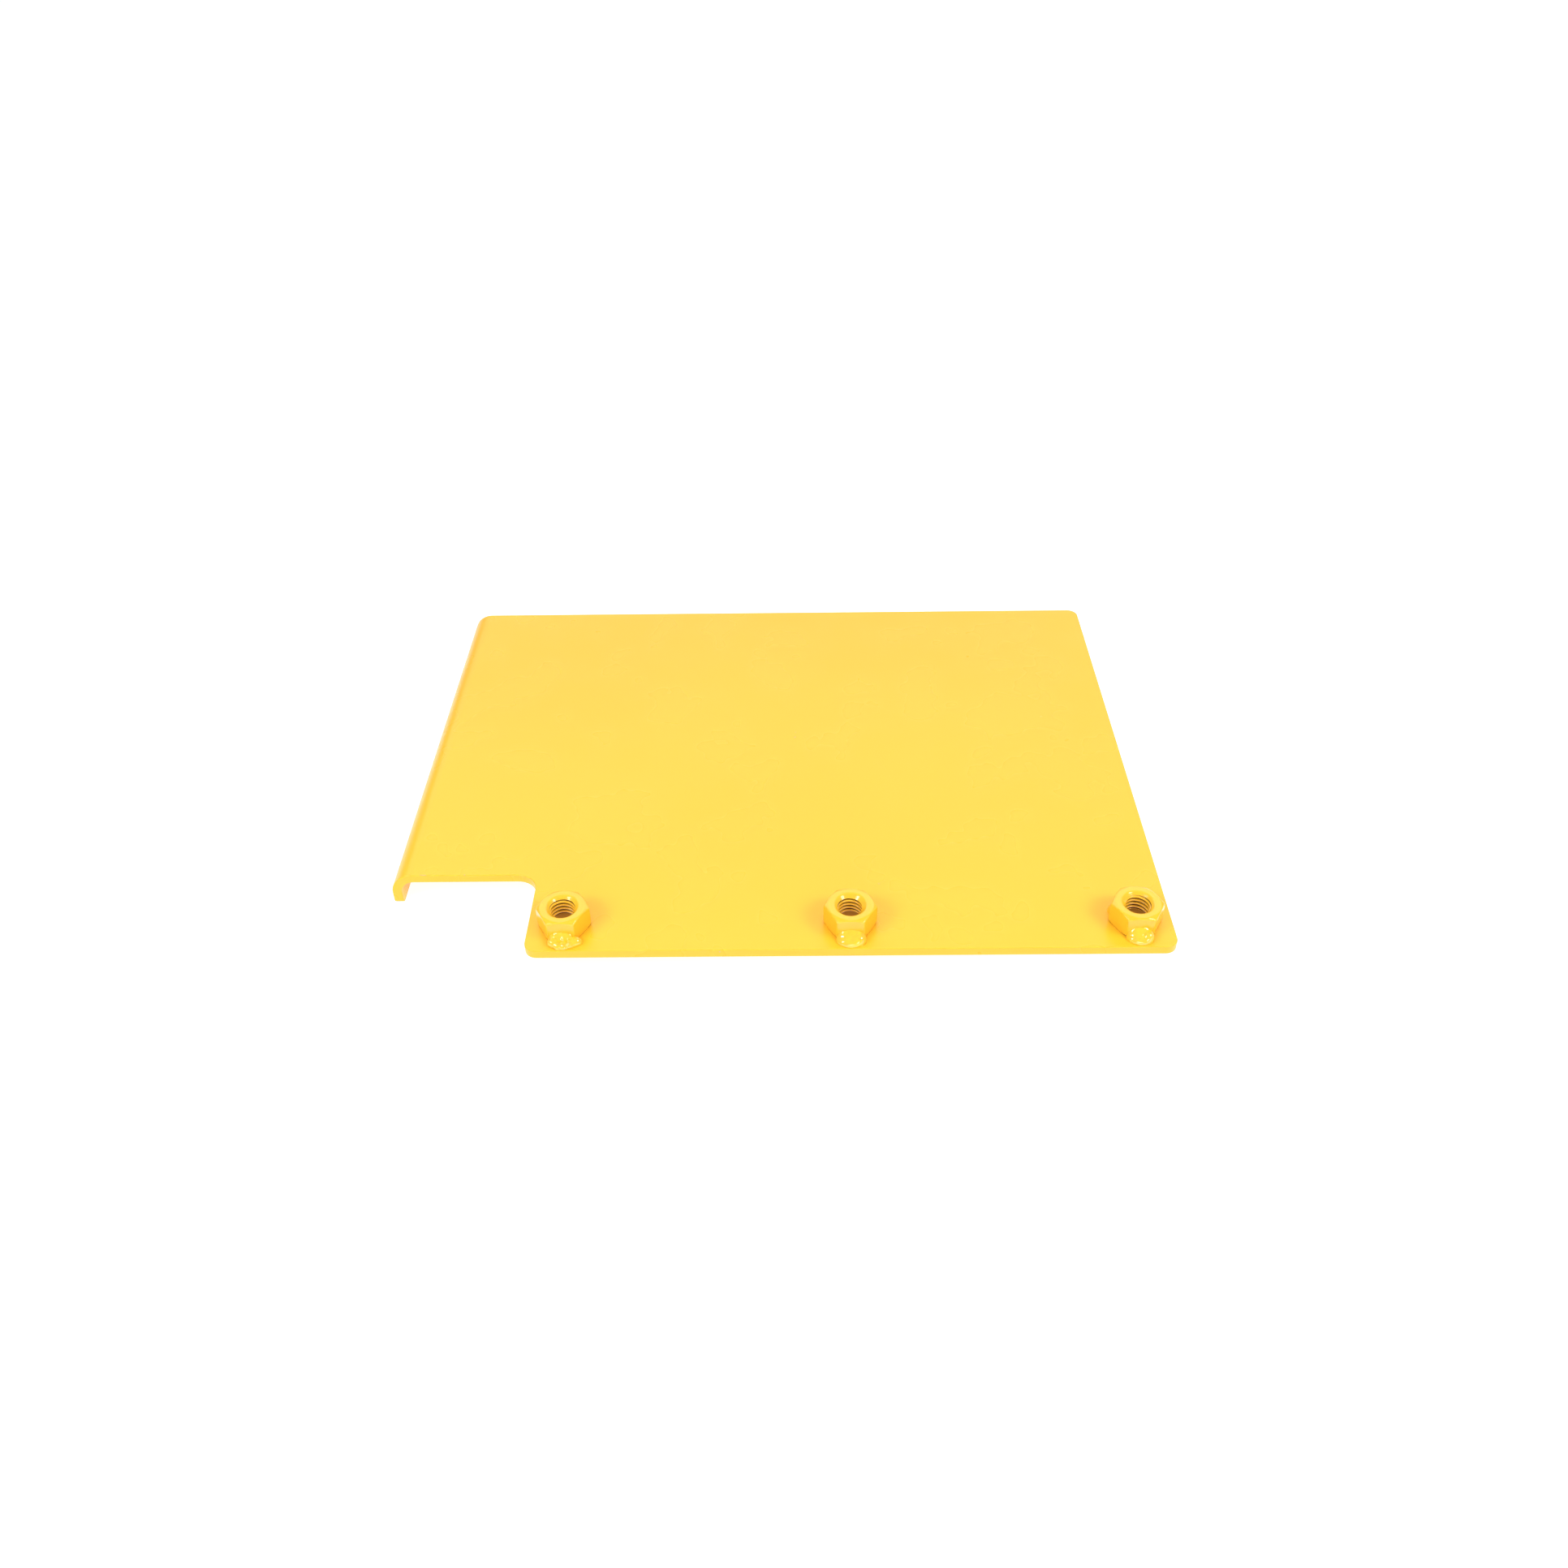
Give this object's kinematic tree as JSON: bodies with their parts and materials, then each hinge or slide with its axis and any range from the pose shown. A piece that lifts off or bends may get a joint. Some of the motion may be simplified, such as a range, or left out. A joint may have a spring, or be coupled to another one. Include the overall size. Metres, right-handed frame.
{
  "type": "flanged sheet-metal cover panel with weld nuts",
  "caption": "Flat painted steel cover panel with one bent-down flange, a corner notch, and a row of hex nuts tack-welded along its front edge for bolting on.",
  "frame": {"origin": "centre of the footprint, level with the lower edge of the flange", "axes": "+X from the flange towards the free right edge, +Y from the nuts towards the rear edge, +Z out of the face that carries the nuts"},
  "size_m": [0.324, 0.25, 0.026],
  "materials": {
    "panel_paint": "smooth yellow gloss paint over sheet steel",
    "nut_paint": "yellow gloss paint, thin and worn brown in the thread",
    "weld_paint": "thick wet-looking yellow gloss paint over a weld bead"
  },
  "bodies": {
    "root": {"panel": "panel_paint", "nut_left": "nut_paint", "nut_centre": "nut_paint", "nut_right": "nut_paint", "weld_left": "weld_paint", "weld_centre": "weld_paint", "weld_right": "weld_paint", "weld_right_rear": "weld_paint"}
  },
  "joints": []
}
